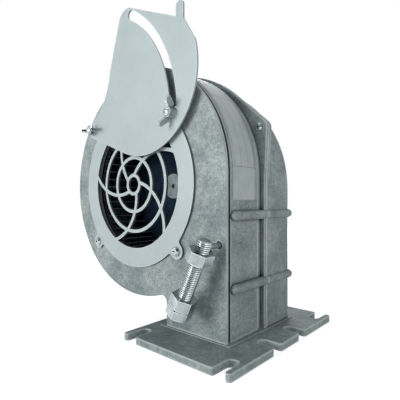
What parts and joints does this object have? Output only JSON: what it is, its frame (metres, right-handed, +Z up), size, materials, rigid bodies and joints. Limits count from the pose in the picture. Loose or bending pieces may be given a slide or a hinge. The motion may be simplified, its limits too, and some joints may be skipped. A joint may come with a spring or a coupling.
{
  "type": "boiler fan",
  "caption": "Centrifugal boiler fan with a cast scroll casing on a slotted flange, a guarded inlet with a swinging air shutter, and a weighted outlet flap.",
  "frame": {"origin": "centre of the outlet opening on the base flange's underside", "axes": "+Z up from the flange's underside to the fan, +Y from the inlet to the motor along the fan's axis, +X to the neck's side of the casing"},
  "size_m": [0.2272, 0.1616, 0.2772],
  "materials": {
    "casing": "sand-cast, dull",
    "plated_sheet": "zinc-plated sheet",
    "plated_screws": "bright zinc plate",
    "impeller_sheet": "galvanised",
    "motor_alloy": "die-cast, dull",
    "bearing_steel": "ground",
    "core": "dark steel",
    "winding": "varnished copper",
    "gland_plastic": "matt"
  },
  "bodies": {
    "fan": {"front_casing": "casing", "rear_casing": "casing", "casing_screws": "plated_screws", "inlet_guard": "plated_sheet", "guard_screws": "plated_screws", "pivot_stud": "plated_screws", "clamp_stud": "plated_screws", "spacer_nuts": "plated_screws", "stator_core": "core", "stator_windings": "winding", "motor_housing": "motor_alloy", "motor_front_shield": "motor_alloy", "motor_rear_shield": "motor_alloy", "front_bearing": "bearing_steel", "rear_bearing": "bearing_steel", "motor_mount_screws": "plated_screws", "motor_tie_screws": "plated_screws", "cable_gland": "gland_plastic", "gland_nut": "gland_plastic"},
    "shutter": {"shutter_plate": "plated_sheet"},
    "pivot_nut": {"pivot_wing_nut": "plated_screws"},
    "clamp_nut": {"clamp_wing_nut": "plated_screws"},
    "flap": {"flap_plate": "plated_sheet", "flap_shaft": "bearing_steel", "counterweight_bolt": "plated_screws", "clamp_nut": "plated_screws", "weight_nut": "plated_screws"},
    "rotor": {"impeller_front_ring": "impeller_sheet", "impeller_blades": "impeller_sheet", "impeller_back_plate": "impeller_sheet", "impeller_hub": "bearing_steel", "hub_grub_screw": "core", "motor_shaft": "bearing_steel", "rotor_core": "core"}
  },
  "joints": [
    {"name": "shutter_swing", "type": "hinge", "parent": "fan", "child": "shutter", "pos_m": [-0.125, -0.04945, 0.176], "axis": [0, 1, 0], "range_deg": [0, 59]},
    {"name": "pivot_nut_turn", "type": "hinge", "parent": "fan", "child": "pivot_nut", "pos_m": [-0.125, -0.0534, 0.176], "axis": [0, -1, 0], "range_deg": [0, 360]},
    {"name": "clamp_nut_turn", "type": "hinge", "parent": "fan", "child": "clamp_nut", "pos_m": [-0.017, -0.0534, 0.176], "axis": [0, -1, 0], "range_deg": [0, 360]},
    {"name": "flap_turn", "type": "hinge", "parent": "fan", "child": "flap", "pos_m": [0.0242, 0, 0.076], "axis": [0, 1, 0], "range_deg": [0, 51]},
    {"name": "rotor_spin", "type": "hinge", "parent": "fan", "child": "rotor", "pos_m": [-0.071, 0, 0.122], "axis": [0, 1, 0], "continuous": true}
  ]
}
